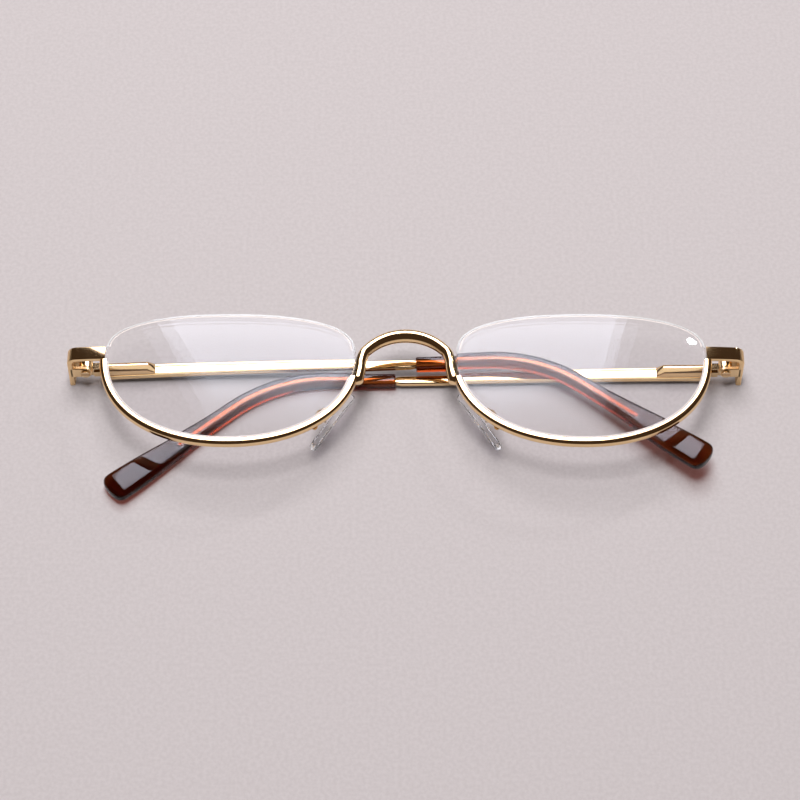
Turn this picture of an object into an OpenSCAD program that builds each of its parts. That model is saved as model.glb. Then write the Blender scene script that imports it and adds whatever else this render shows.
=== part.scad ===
// Half-frame reading glasses, folded and lying on their back.
// +X is the wearer's left, +Y is up as worn, +Z is forward as worn. Z = 0 is the table.
// A lower metal rim carries each lens and a nylon cord holds its open top edge.

/* [Front] */
// Distance from a lens to the outer wall of its end piece
end_reach = 7.9; // [7.4:0.1:10]
// Height of the front face of the end pieces above the table
front_z = 9.7; // [9.2:0.1:11]
// Thickness of the end piece metal
plate_t = 1.1; // [0.8:0.1:1.4]
// Height of the end pieces, up as worn
plate_h = 3.1; // [2.8:0.1:4]

/* [Lenses] */
// Width of a lens
lens_w = 50.8; // [46:0.2:52]
// Distance between the two lenses
lens_gap = 20.6; // [18:0.1:22]
// Height of a lens above its widest line
lens_rise = 9.1; // [7:0.1:12]
// Depth of a lens below its widest line
lens_drop = 21.6; // [18:0.2:24]
// Height of the widest line above the hinge line, as worn
lens_line = -0.9; // [-2:0.1:0]
// Squareness of the upper edge, where 2 is an ellipse
upper_power = 3.4; // [2:0.1:4]
// Squareness of the lower edge, where 2 is an ellipse
lower_power = 2.1; // [2:0.1:3]
// Radius of the front surface
front_radius = 100; // [90:1:140]
// Radius of the back surface
back_radius = 140; // [120:1:200]
// Thickness in the middle
lens_t = 2.4; // [2.2:0.1:3]
// Height of the lens's middle above the table
lens_z = 12.9; // [12.4:0.1:14]
// Distance from the front surface to the groove or tongue
tongue_set = 0.4; // [0.3:0.05:0.6]
// Thickness of the tongue and width of the groove
tongue_t = 0.6; // [0.4:0.05:0.8]
// Depth of the tongue and of the cord groove
tongue_d = 0.4; // [0.3:0.05:0.6]
// Diameter of the nylon cord
cord_d = 0.5; // [0.4:0.05:0.55]

/* [Rims] */
// Width of the rim wire outside the lens
rim_w = 1.45; // [1.1:0.05:2]
// Thickness of the rim wire, front to back
rim_t = 1.8; // [1.5:0.1:2.4]

/* [Bridge] */
// Diameter of the bridge wire
bridge_d = 2.2; // [1.6:0.05:2.4]
// Share by which the wire is thicker in the middle of the arch
bridge_swell = 0.12; // [0:0.02:0.2]
// Height of the arch's centre line over the hinge line, as worn
bridge_y = 4.7; // [3:0.1:7]
// Height of the arch's ends over the hinge line, as worn
shoulder_y = -0.6; // [-1:0.1:1.5]
// Height of the bridge's feet, where the rims start, as worn
foot_y = -5.9; // [-8:0.1:-5]

/* [Nose pads] */
// Length of a pad
pad_l = 14.6; // [12:0.2:16]
// Width of a pad
pad_w = 6.8; // [5:0.2:8]
// Thickness of a pad
pad_t = 1.7; // [1.3:0.1:2.2]
// Distance from the lenses' inner line to a pad's middle, across
pad_inset = 4.6; // [4:0.1:5.5]
// Height of a pad's middle, as worn
pad_y = -13.5; // [-16:0.1:-12]
// Height of a pad's middle above the table
pad_z = 4.25; // [3.9:0.05:5]
// Diameter of the pad arm wire
arm_d = 0.9; // [0.7:0.05:1.1]
// Diameter of the pad screw
pad_screw_d = 0.8; // [0.6:0.05:0.9]
// Width of the pad's lug along its screw
lug_w = 1.2; // [0.9:0.1:1.5]
// Thickness of each cheek of the pad box
cheek_t = 0.45; // [0.35:0.05:0.7]

/* [Hinges] */
// Distance from an end piece's outer wall in to the hinge pin
pin_inset = 3.5; // [3:0.1:4]
// Height of the hinge pins above the table
pin_z = 4.4; // [4.4:0.05:5]
// Diameter of the hinge barrel
barrel_d = 2.8; // [2.6:0.1:3.2]
// Diameter of the hinge screw
hinge_screw_d = 1.1; // [0.9:0.1:1.3]
// Diameter of the hinge screw's head
hinge_head_d = 1.9; // [1.6:0.1:2.2]
// Width of the eye between the two front knuckles
eye_w = 1.44; // [1.2:0.02:1.6]
// Running clearance at screws and between knuckles
run_gap = 0.05; // [0.03:0.01:0.08]

/* [Temples] */
// Distance from the pin to the start of the bend behind the ear
temple_straight = 82.2; // [78:0.2:92]
// Radius of the bend
bend_r = 30; // [24:1:40]
// Angle of the bend
bend_angle = 38.5; // [30:0.5:45]
// Length of the straight piece after the bend
drop_l = 29; // [24:0.5:36]
// Distance from the pin to the start of the plastic tip
tip_start = 67.6; // [60:0.2:76]
// Length of metal core that the tip covers
core_l = 49; // [40:1:52]
// Width of the blade at the hinge
blade_w = 2.9; // [2.4:0.1:3.1]
// Width of the blade at the tip
blade_end_w = 1.9; // [1.6:0.1:2.2]
// Thickness of the blade
blade_t = 1.1; // [0.9:0.05:1.4]
// Width of the core inside the tip
core_w = 1.2; // [1:0.1:1.4]
// Distance from the pin to the blade's outer face
blade_set = 3.65; // [3.4:0.05:4]
// Width of the tip where it starts
tip_w = 2.7; // [2.4:0.1:3.2]
// Width of the tip near its end
paddle_w = 6.6; // [5:0.1:8]
// Length over which the tip widens
paddle_l = 27; // [20:1:32]
// Length of the tip's rounded end
tip_end_l = 2.4; // [1.6:0.1:3.4]
// Squareness of that end, where 2 is an ellipse
tip_end_power = 2.8; // [2:0.1:4]
// Thickness of the tip
tip_t = 2.6; // [2.4:0.1:2.8]
// Turn of both folded temples, seen from the front
temple_skew = 1.25; // [1.2:0.05:1.5]
// Lift of the inner folded temple towards the front
inner_lift = 1.5; // [1.4:0.1:1.8]

/* [Spring housings] */
// Length of the housing on the blade
box_l = 9.8; // [9.4:0.1:12]
// Width of the housing
box_w = 2.3; // [2.2:0.1:2.6]
// Height of the housing over the blade
box_h = 2.0; // [1.95:0.05:2.3]
// Diameter of the spring's bore
spring_bore = 1.5; // [1.45:0.05:1.6]
// Diameter of the eye's shank
shank_d = 0.7; // [0.6:0.05:0.8]
// Width of the neck between the eye and the housing
neck_w = 2.2; // [1.6:0.1:2.4]
// Wire of the coil spring
spring_wire = 0.24; // [0.2:0.02:0.26]
// Number of turns in the coil spring
spring_turns = 7; // [5:1:9]
// Travel of the spring hinge
spring_travel = 1.2; // [0.8:0.1:1.4]

/* [Hidden] */
$fn = 40;

gold = [0.83, 0.68, 0.45];
pale_gold = [0.88, 0.75, 0.54];
clear = [0.85, 0.88, 0.92, 0.45];
amber = [0.42, 0.13, 0.06];

front_w = lens_gap + 2 * (lens_w + end_reach);
pin_x = front_w / 2 - pin_inset;
pad_x = lens_gap / 2 + pad_inset;

// The lens outline and its sphere
lens_x = (lens_gap + lens_w) / 2;
lens_half = lens_w / 2;
axis_y = lens_line + (lens_rise - lens_drop) / 2;
fit_gap = 0.05;
edge_steps = 56;
cut_over = 4;

// Height, over the table, of a layer of the lens that lies set behind its front surface
function layer_z(x, y, set) =
    let (r = front_radius - set)
    lens_z - front_radius + sqrt(r * r - pow(x - lens_x, 2) - pow(y - axis_y, 2));

function signed_power(v, p) = sign(v) * pow(abs(v), p);

// A point of the lens outline: angle t from the temple side round the top, moved out by u
function edge(t, u) =
    let (
        upper = sin(t) >= 0,
        power = 2 / (upper ? upper_power : lower_power),
        height = upper ? lens_rise : lens_drop
    )
    [
        lens_x + (lens_half + u) * signed_power(cos(t), power),
        lens_line + (height + u) * signed_power(sin(t), power)
    ];

// The angle at which the lower outline has the height y
function lower_angle(y) = asin(pow((lens_line - y) / lens_drop, lower_power / 2));
start_angle = -lower_angle(-plate_h / 2);
end_angle = -180 + lower_angle(foot_y);
function rim_angle(i) = start_angle + (end_angle - start_angle) * i / edge_steps;
top_start = asin(pow((plate_h / 2 + 0.1 - lens_line) / lens_rise, upper_power / 2));
top_end = 180 - asin(pow((shoulder_y + bridge_d / 2 + 0.2 - lens_line) / lens_rise, upper_power / 2));
function top_angle(i) = top_start + (top_end - top_start) * i / edge_steps;

// Faces of a skin over rings of n points each. Each cap is a polygon of ring points, and
// together the caps close the first and the last ring
function skin_faces(count, n, caps) = concat(
    caps,
    [
        for (i = [0:count - 2], k = [0:n - 1], half = [0, 1])
            let (
                a = i * n + k,
                b = i * n + (k + 1) % n,
                c = a + n,
                d = b + n
            )
            half == 0 ? [a, c, b] : [b, c, d]
    ],
    [for (cap = caps) [for (i = [len(cap) - 1:-1:0]) (count - 1) * n + cap[i]]]
);

wire_sides = 14;

module skin(rings, caps = []) {
    n = len(rings[0]);
    ends = len(caps) > 0 ? caps : [[for (k = [0:n - 1]) k]];
    polyhedron([for (ring = rings, p = ring) p], skin_faces(len(rings), n, ends), convexity = 6);
}

// Puts one module's wearer's-left shape on either side
module on_side(side) {
    translate([0, row_y, 0])
        mirror([side < 0 ? 1 : 0, 0, 0])
            children();
}

// The rim wire's section: rounded outside, with a groove for the lens's tongue inside
rim_round = 0.45;
groove_room = 0.12;
groove_half = tongue_t / 2 + groove_room;
rim_section = concat(
    [
        for (corner = [[1, -1], [1, 1]], a = [0, 45, 90])
            let (turn = corner[1] < 0 ? a - 90 : a)
            [
                rim_w - rim_round + rim_round * cos(turn),
                corner[1] * (rim_t / 2 - rim_round) + rim_round * sin(turn)
            ]
    ],
    [
        [-tongue_d + fit_gap, rim_t / 2],
        [-tongue_d + fit_gap, groove_half],
        [fit_gap, groove_half],
        [fit_gap, -groove_half],
        [-tongue_d + fit_gap, -groove_half],
        [-tongue_d + fit_gap, -rim_t / 2]
    ]
);

// The section is hollow, so its end is closed by the back and the two lips
rim_caps = [[5, 6, 7, 8], [9, 10, 11, 0], [0, 1, 2, 3, 4, 5, 8, 9]];

// The direction that points out of the lens at angle t
function edge_out(t) =
    let (
        step = edge(t + 0.2, 0) - edge(t - 0.2, 0),
        long = norm(step)
    )
    [step[1] / long, -step[0] / long];

module rim(side) {
    color(gold)
    on_side(side)
        skin([
            for (i = [0:edge_steps])
                let (
                    t = rim_angle(i),
                    p = edge(t, 0),
                    level = i == 0 ? [1, 0] : i == edge_steps ? [-1, 0] : edge_out(t),
                    z = layer_z(p[0], p[1], tongue_set + tongue_t / 2)
                )
                [for (s = rim_section) [p[0] + s[0] * level[0], p[1] + s[0] * level[1], z + s[1]]]
        ], rim_caps);
}

// A flat ring between two offsets of the outline, over the angles of the given list
module edge_ring(angles, inner, outer) {
    linear_extrude(height = lens_z + cut_over)
        polygon(concat(
            [for (t = angles) edge(t, outer)],
            [for (i = [len(angles) - 1:-1:0]) edge(angles[i], inner)]
        ));
}

module lens_sphere(radius, z) {
    translate([lens_x, axis_y, z])
        sphere(r = radius, $fn = 96);
}

// The lens: a round tongue sits in the rim and a groove round the top takes the cord
module lens(side) {
    all_angles = [for (i = [0:95]) i * 360 / 96];
    low_angles = [for (i = [-1:edge_steps + 1]) rim_angle(i)];
    high_angles = [for (i = [-1:edge_steps + 1]) top_angle(i)];
    centre_z = lens_z - front_radius;
    color(clear)
    on_side(side)
        difference() {
            intersection() {
                linear_extrude(height = lens_z + cut_over)
                    polygon([for (t = all_angles) edge(t, 0)]);
                lens_sphere(front_radius, centre_z);
            }
            lens_sphere(back_radius, lens_z - lens_t - back_radius);
            difference() {
                edge_ring(low_angles, -tongue_d, 2);
                lens_sphere(front_radius - tongue_set, centre_z);
            }
            intersection() {
                edge_ring(low_angles, -tongue_d, 2);
                lens_sphere(front_radius - tongue_set - tongue_t, centre_z);
            }
            intersection() {
                edge_ring(high_angles, -tongue_d, 2);
                difference() {
                    lens_sphere(front_radius - tongue_set, centre_z);
                    lens_sphere(front_radius - tongue_set - tongue_t, centre_z);
                }
            }
        }
}

module nylon_cord(side) {
    cord_in = cord_d / 2 - tongue_d + fit_gap;
    color(clear)
    on_side(side)
        skin([
            for (i = [0:edge_steps])
                let (
                    t = top_angle(edge_steps - i),
                    p = edge(t, 0),
                    out = edge_out(t),
                    z = layer_z(p[0], p[1], tongue_set + tongue_t / 2)
                )
                [
                    for (k = [0:5])
                        let (
                            u = cord_in + cord_d / 2 * cos(k * 60),
                            w = cord_d / 2 * sin(k * 60)
                        )
                        [p[0] + u * out[0], p[1] + u * out[1], z + w]
                ]
        ]);
}

// The bridge: an arch with two legs that run down beside the lenses to the rims
module bridge() {
    r = bridge_d / 2;
    half = lens_gap / 2 - r - 2 * fit_gap;
    rise = bridge_y - shoulder_y;
    arch_r = (half * half + rise * rise) / (2 * rise);
    spread = asin(half / arch_r);
    function leg_x(y) = (y < lens_line ? edge(lower_angle(y) - 180, 0)[0] : lens_gap / 2) - r - 2 * fit_gap;
    shoulder_z = layer_z(lens_x - lens_half + 0.2, shoulder_y, tongue_set + tongue_t / 2);
    leg = [
        for (k = [0, 0.25, 0.5, 0.8])
            let (y = foot_y + (shoulder_y - foot_y) * k)
            [leg_x(y), y]
    ];
    arch = [
        for (i = [-9:9])
            let (a = -i / 10 * spread)
            [arch_r * sin(a), bridge_y - arch_r + arch_r * cos(a)]
    ];
    path = concat(leg, arch, [for (i = [3:-1:0]) [-leg[i][0], leg[i][1]]]);
    last = len(path) - 1;
    color(pale_gold)
    translate([0, row_y, shoulder_z])
        skin([
            for (i = [0:last])
                let (
                    ahead = path[min(i + 1, last)] - path[max(i - 1, 0)],
                    thick = r * (1 + bridge_swell * max(0, 1 - pow(path[i][0] / half, 2))),
                    out = i == 0 ? [1, 0] : i == last ? [-1, 0] : [ahead[1], -ahead[0]] / norm(ahead)
                )
                [
                    for (k = [0:wire_sides - 1])
                        let (
                            u = thick * cos(k * 360 / wire_sides),
                            w = -thick * sin(k * 360 / wire_sides)
                        )
                        [path[i][0] + u * out[0], path[i][1] + u * out[1], w]
                ]
        ]);
}

// The end piece: a strip from the lens that wraps back round the corner, with two knuckles
module end_piece(side) {
    corner_r = 2.2;
    strip_x = lens_x + lens_half + fit_gap;
    wall_x = front_w / 2;
    ear_w = (plate_h - eye_w) / 2 - run_gap;
    color(gold)
    on_side(side)
        difference() {
            union() {
                translate([0, plate_h / 2, 0])
                    rotate([90, 0, 0])
                        linear_extrude(height = plate_h)
                            difference() {
                                union() {
                                    translate([strip_x, 0])
                                        square([wall_x - corner_r - strip_x, front_z]);
                                    square([wall_x, front_z - corner_r]);
                                    translate([wall_x - corner_r, front_z - corner_r])
                                        circle(r = corner_r);
                                }
                                translate([0, -1])
                                    square([wall_x - corner_r, front_z - plate_t + 1]);
                                translate([0, -1])
                                    square([wall_x - plate_t, front_z - corner_r + 1]);
                                translate([wall_x - corner_r, front_z - corner_r])
                                    circle(r = corner_r - plate_t);
                            }
                for (s = [-1, 1])
                    translate([pin_x, s * (plate_h / 2 - ear_w / 2), pin_z])
                        rotate([90, 0, 0])
                            union() {
                                cylinder(d = barrel_d, h = ear_w, center = true);
                                translate([0, -barrel_d / 2, -ear_w / 2])
                                    cube([wall_x - plate_t / 2 - pin_x, barrel_d, ear_w]);
                            }
            }
            translate([pin_x, 0, pin_z])
                rotate([90, 0, 0])
                    cylinder(d = hinge_screw_d + 2 * run_gap, h = plate_h + 2, center = true);
        }
}

module hinge_screw(side) {
    head_t = 0.4;
    slot_w = 0.3;
    head_at = plate_h / 2 + 0.02;
    color(gold)
    on_side(side)
        translate([pin_x, 0, pin_z])
            rotate([90, 0, 0])
                difference() {
                    union() {
                        cylinder(d = hinge_screw_d, h = plate_h + 0.1, center = true);
                        translate([0, 0, head_at])
                            cylinder(d = hinge_head_d, h = head_t);
                    }
                    translate([-hinge_head_d, -slot_w / 2, head_at + head_t / 2])
                        cube([2 * hinge_head_d, slot_w, head_t]);
                }
}

// Turns a folded temple about its pin: both are skewed alike, and the inner one is lifted
module folded(side) {
    translate([side * pin_x, row_y, pin_z])
        rotate([0, side < 0 ? -inner_lift : 0, temple_skew])
            mirror([side > 0 ? 1 : 0, 0, 0])
                children();
}

// From here on x runs from the pin along the temple, and z is 0 at the pin
// Gap between the end piece's wall and the blade of an open temple
open_gap = 0.15;
blade_start = pin_z + open_gap;
blade_top = blade_t - blade_set;
box_setback = 0.1;
box_start = blade_start + box_setback;
shank_sink = 0.02;
shank_z = blade_top + box_h / 2 - shank_sink;
// Thickness of the housing's wall at its hinge end
bore_wall = 1.3;
bore_start = box_start + bore_wall;
// The spring's room: three wires for each turn, and the travel
head_x = bore_start + 3 * spring_turns * spring_wire + spring_travel;
head_l = 0.6;

// A point of the temple's centre line at distance s from the pin, with its direction
function temple_point(s) =
    let (
        arc_l = bend_r * bend_angle * PI / 180,
        past = s - temple_straight,
        turn = past <= 0 ? 0 : past < arc_l ? past / bend_r * 180 / PI : bend_angle,
        after = max(0, past - arc_l)
    )
    [
        min(s, temple_straight) + bend_r * sin(turn) + after * cos(turn),
        -bend_r * (1 - cos(turn)) - after * sin(turn),
        turn
    ];
temple_end = temple_straight + bend_r * bend_angle * PI / 180 + drop_l;

function side_point(s, w) =
    let (p = temple_point(s))
    [p[0] + w * sin(p[2]), p[1] + w * cos(p[2])];

// Where the blade starts to narrow before the tip, and where it has its core's width
narrow_start = tip_start - 0.6 * tip_w;
narrow_end = tip_start + 0.4 * tip_w;
// Half the width of the metal at distance s: it tapers, and then narrows into the tip
function blade_half(s) =
    s >= narrow_end ? core_w / 2
    : s >= narrow_start
        ? core_w / 2 + (blade_end_w - core_w) / 2 * (narrow_end - s) / (narrow_end - narrow_start)
        : (blade_w + (blade_end_w - blade_w) * (s - blade_start) / (tip_start - blade_start)) / 2;

module temple(side) {
    core_end = tip_start + core_l;
    stations = concat(
        [blade_start, narrow_start, narrow_end],
        [for (i = [0:10]) temple_straight + (core_end - temple_straight) * i / 10]
    );
    color(pale_gold)
    folded(side)
        translate([0, 0, -blade_set])
            linear_extrude(height = blade_t)
                polygon(concat(
                    [for (s = stations) side_point(s, blade_half(s))],
                    [for (i = [len(stations) - 1:-1:0]) side_point(stations[i], -blade_half(stations[i]))]
                ));
}

tip_swell = 0.3;
swell_l = 20;
// Half the width of the plastic tip: a slim sleeve that widens into a paddle with a squarish end
function tip_half(s) =
    let (
        swell = max(0, min(1, (s - temple_end) / paddle_l + 1)),
        ease = swell * swell * (3 - 2 * swell),
        past = max(0, (s - temple_end) / tip_end_l),
        round_off = pow(max(0, 1 - pow(past, tip_end_power)), 1 / tip_end_power),
        sleeve = tip_w + tip_swell * min(1, (s - tip_start) / swell_l)
    )
    (sleeve + (paddle_w - tip_w - tip_swell) * ease) / 2 * round_off;

tip_sides = 16;
corner_turn = 180 / tip_sides;
// The power of sine and cosine in the tip's section, where 1 is an ellipse
tip_square = 0.62;
// A ring of the tip at distance s, with half width w, lying on the height low with thickness t
function tip_ring(s, w, low, t) =
    let (p = temple_point(s))
    [
        for (k = [0:tip_sides - 1])
            let (
                a = corner_turn + k * 360 / tip_sides,
                across = w * signed_power(cos(a) / cos(corner_turn), tip_square),
                up = low + t / 2 + t / 2 * signed_power(sin(a) / cos(corner_turn), tip_square)
            )
            [p[0] + across * sin(p[2]), p[1] + across * cos(p[2]), up]
    ];

tip_low = -blade_set + blade_t / 2 - tip_t / 2;
bend_l = bend_r * bend_angle * PI / 180;
tip_stations = concat(
    [tip_start + 0.2],
    [for (i = [0:9]) temple_straight + bend_l * i / 9],
    [for (i = [1:9]) temple_straight + bend_l + drop_l * i / 9],
    [for (a = [20, 40, 57, 70, 79, 85]) temple_end + tip_end_l * sin(a)]
);
// Share of the thickness left at the very end
end_thin = 0.45;
function end_share(s) =
    s <= temple_end ? 1 : end_thin + (1 - end_thin) * sqrt(max(0, 1 - pow((s - temple_end) / tip_end_l, 2)));
// Share of the lost thickness that is taken from below
end_rise = 0.35;
tip_skin = [
    for (s = tip_stations)
        let (t = tip_t * end_share(s))
        tip_ring(s, tip_half(s), tip_low + (tip_t - t) * end_rise, t)
];

// The object's middle, as worn, lies between the cord over the lenses and the end of the
// outer temple's tip
cord_out = cord_d - tongue_d + fit_gap;
reach_down = max([for (ring = tip_skin, p = ring) p[0] * sin(temple_skew) - p[1] * cos(temple_skew)]);
row_y = (reach_down - lens_line - lens_rise - cord_out) / 2;

// The plastic tip, with a blind channel that the metal core fills
module temple_tip(side) {
    end_room = 0.4;
    mouth_inset = 0.2;
    mouth_gap = 0.12;
    core_end = tip_start + core_l + end_room;
    hole_w = core_w * 0.78;
    hole_t = blade_t * 1.5;
    hole_low = -blade_set + blade_t / 2 - hole_t / 2;
    hole_at = concat(
        [core_end, (core_end + temple_straight + bend_l) / 2],
        [for (i = [6:-1:0]) temple_straight + bend_l * i / 6],
        [tip_start + 1.2]
    );
    color(amber)
    folded(side)
        skin(concat(
            [for (s = hole_at) tip_ring(s, hole_w, hole_low, hole_t)],
            [
                tip_ring(tip_start, blade_end_w / 2 + mouth_gap, hole_low, hole_t),
                tip_ring(tip_start, tip_w / 2 - mouth_inset, tip_low + mouth_inset, tip_t - 2 * mouth_inset)
            ],
            tip_skin
        ));
}

// The spring housing: a round-topped box on the blade, bored for the eye's shank and spring
module spring_box(side) {
    r = box_w / 2;
    side_h = 0.7;
    round_top = box_h - side_h;
    end_slope = 55;
    end_cut = [4, 2 * box_w, 1.6];
    hole_l = box_l - 1.2;
    head_room = 0.4;
    color(pale_gold)
    folded(side)
        difference() {
            translate([box_start, 0, blade_top])
                rotate([90, 0, 90])
                    linear_extrude(height = box_l)
                        polygon(concat(
                            [[-r, 0], [r, 0]],
                            [for (a = [0:15:180]) [r * cos(a), side_h + round_top * sin(a)]]
                        ));
            translate([box_start + box_l, 0, blade_top + box_h])
                rotate([0, end_slope, 0])
                    cube(end_cut, center = true);
            translate([box_start - 1, 0, shank_z])
                rotate([0, 90, 0])
                    cylinder(d = shank_d + 2 * run_gap, h = hole_l);
            translate([bore_start, 0, shank_z])
                rotate([0, 90, 0])
                    cylinder(d = spring_bore, h = head_x + head_l + head_room - bore_start);
        }
}

// The sliding eye: the temple's hinge knuckle on a shank that pulls on the spring
module spring_eye(side) {
    neck_start = barrel_d / 2 + 0.2;
    neck_end = blade_start - 0.1;
    neck_h = 1.5;
    color(gold)
    folded(side)
        difference() {
            union() {
                rotate([90, 0, 0])
                    cylinder(d = barrel_d, h = eye_w, center = true);
                translate([0, -eye_w / 2, shank_z - shank_d / 2])
                    cube([neck_end, eye_w, shank_d - shank_z]);
                translate([neck_start, -neck_w / 2, shank_z - shank_d / 2])
                    cube([neck_end - neck_start, neck_w, neck_h]);
                translate([neck_start, 0, shank_z])
                    rotate([0, 90, 0])
                        cylinder(d = shank_d, h = head_x + head_l / 2 - neck_start);
                translate([head_x, 0, shank_z])
                    rotate([0, 90, 0])
                        cylinder(d = spring_bore - 2 * run_gap, h = head_l);
            }
            rotate([90, 0, 0])
                cylinder(d = hinge_screw_d + 2 * run_gap, h = eye_w + 2, center = true);
        }
}

// The coil spring between the housing's shoulder and the shank's head
module hinge_spring(side) {
    coil_r = spring_bore / 2 - run_gap - spring_wire / 2;
    wire_r = spring_wire / 2;
    coil_l = head_x - bore_start - 2 * wire_r - 0.1;
    steps = spring_turns * 10;
    color(gold)
    folded(side)
        translate([bore_start + wire_r + 0.05, 0, shank_z])
            skin([
                for (i = [0:steps])
                    [
                        for (k = [0:4])
                            let (
                                a = i * 36,
                                rr = coil_r + wire_r * cos(k * 72)
                            )
                            [coil_l * i / steps - wire_r * sin(k * 72), rr * cos(a), rr * sin(a)]
                    ]
            ]);
}

// The pad's own directions: along it, across it from front to back, and through it
pad_along = [0.56, -0.82, -0.12] / norm([0.56, -0.82, -0.12]);
pad_back = [0.19, 0.285, -0.94];
pad_face = cross(pad_along, pad_back) / norm(cross(pad_along, pad_back));
pad_across = cross(pad_face, pad_along);

module at_pad(side) {
    on_side(side)
        multmatrix([
            [pad_along[0], pad_across[0], pad_face[0], pad_x],
            [pad_along[1], pad_across[1], pad_face[1], pad_y],
            [pad_along[2], pad_across[2], pad_face[2], pad_z]
        ])
            children();
}

// In the pad's frame z points at the rim, so the lug and the box lie at positive z
lug_z = pad_t / 2 + 1.0;
lug_r = 0.75;

module nose_pad(side) {
    pad_rings = 6;
    color(clear)
    at_pad(side)
        difference() {
            union() {
                skin([
                    for (i = [0:pad_rings])
                        let (
                            a = -72 + 144 * i / pad_rings,
                            grow = pow(cos(a), 0.4)
                        )
                        [
                            for (k = [0:23])
                                let (t = k * 15)
                                [
                                    (pad_l / 2 - pad_t / 2 + pad_t / 2 * grow) * signed_power(cos(t), 0.9),
                                    (pad_w / 2 - pad_t / 2 + pad_t / 2 * grow) * signed_power(sin(t), 0.9),
                                    pad_t / 2 * sin(a) / sin(72)
                                ]
                        ]
                ]);
                translate([0, 0, lug_z])
                    rotate([90, 0, 0])
                        cylinder(r = lug_r, h = lug_w, center = true);
                translate([-lug_r, -lug_w / 2, 0])
                    cube([2 * lug_r, lug_w, lug_z]);
            }
            translate([0, 0, lug_z])
                rotate([90, 0, 0])
                    cylinder(d = pad_screw_d + 2 * run_gap, h = lug_w + 2, center = true);
        }
}

module pad_screw(side) {
    reach = lug_w + 2 * cheek_t + 2 * run_gap;
    color(gold)
    at_pad(side)
        translate([0, 0, lug_z])
            rotate([90, 0, 0])
                union() {
                    cylinder(d = pad_screw_d, h = reach, center = true);
                    translate([0, 0, reach / 2])
                        cylinder(d = pad_screw_d + 0.5, h = 0.25);
                }
}

// A point at share t along the smooth curve that the listed points pull towards them
function curve(points, t) =
    len(points) == 1
        ? points[0]
        : curve([for (i = [0:len(points) - 2]) points[i] * (1 - t) + points[i + 1] * t], t);

// A round wire along that curve
module wire(points, d, steps) {
    skin([
        for (i = [0:steps])
            let (
                t = i / steps,
                ahead = curve(points, t + 0.01) - curve(points, t - 0.01),
                side = cross(ahead, [1, 0, 0]) / norm(cross(ahead, [1, 0, 0])),
                up = cross(side, ahead) / norm(ahead)
            )
            [for (k = [0:7]) curve(points, t) + d / 2 * (sin(k * 45) * side + cos(k * 45) * up)]
    ]);
}

// The arm leaves the back of the rim, loops up behind the lens and ends in the pad's box
module pad_arm(side) {
    weld_y = -17.4;
    weld_gap = 0.05;
    weld_edge = edge(lower_angle(weld_y) - 180, 0);
    rim_back = edge(lower_angle(weld_y) - 180, rim_w * 0.4);
    root_z = layer_z(weld_edge[0], weld_edge[1], tongue_set + tongue_t / 2) - rim_t / 2 - weld_gap;
    cheek_y = lug_w / 2 + run_gap;
    cheek_low = pad_t / 2 + 0.35;
    box_low = lug_z + 0.9;
    box_t = 0.6;
    box_at = [pad_x, pad_y, pad_z] + (box_low + box_t - 0.05) * pad_face;
    loop = [
        [rim_back[0], rim_back[1], root_z],
        [rim_back[0], rim_back[1], root_z - 1.4],
        [rim_back[0] + 0.3, rim_back[1] + 2.6, root_z - 2.5],
        [rim_back[0] + 0.1, rim_back[1] + 4.6, root_z - 2.9],
        box_at
    ];
    color(gold) {
        on_side(side)
            wire(loop, arm_d, 14);
        at_pad(side)
            difference() {
                union() {
                    for (s = [-1, 1])
                        translate([-lug_r, s * (cheek_y + cheek_t / 2) - cheek_t / 2, cheek_low])
                            cube([2 * lug_r, cheek_t, box_low + box_t - cheek_low]);
                    translate([-lug_r, -cheek_y - cheek_t, box_low])
                        cube([2 * lug_r, 2 * (cheek_y + cheek_t), box_t]);
                }
                translate([0, 0, lug_z])
                    rotate([90, 0, 0])
                        cylinder(d = pad_screw_d + 2 * run_gap, h = 2 * lug_w + 4, center = true);
            }
    }
}

bridge();
rim(-1);  // right_rim
rim(1);  // left_rim
end_piece(-1);  // right_end_piece
end_piece(1);  // left_end_piece
lens(-1);  // right_lens
lens(1);  // left_lens
nylon_cord(-1);  // right_nylon_cord
nylon_cord(1);  // left_nylon_cord
pad_arm(-1);  // right_pad_arm
pad_arm(1);  // left_pad_arm
pad_screw(-1);  // right_pad_screw
pad_screw(1);  // left_pad_screw
nose_pad(-1);  // right_nose_pad
nose_pad(1);  // left_nose_pad
hinge_screw(-1);  // right_hinge_screw
hinge_screw(1);  // left_hinge_screw
spring_eye(-1);  // right_spring_eye
spring_eye(1);  // left_spring_eye
hinge_spring(-1);  // right_hinge_spring
hinge_spring(1);  // left_hinge_spring
spring_box(-1);  // right_spring_box
spring_box(1);  // left_spring_box
temple(-1);  // right_temple
temple(1);  // left_temple
temple_tip(-1);  // right_temple_tip
temple_tip(1);  // left_temple_tip
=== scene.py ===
import math

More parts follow.
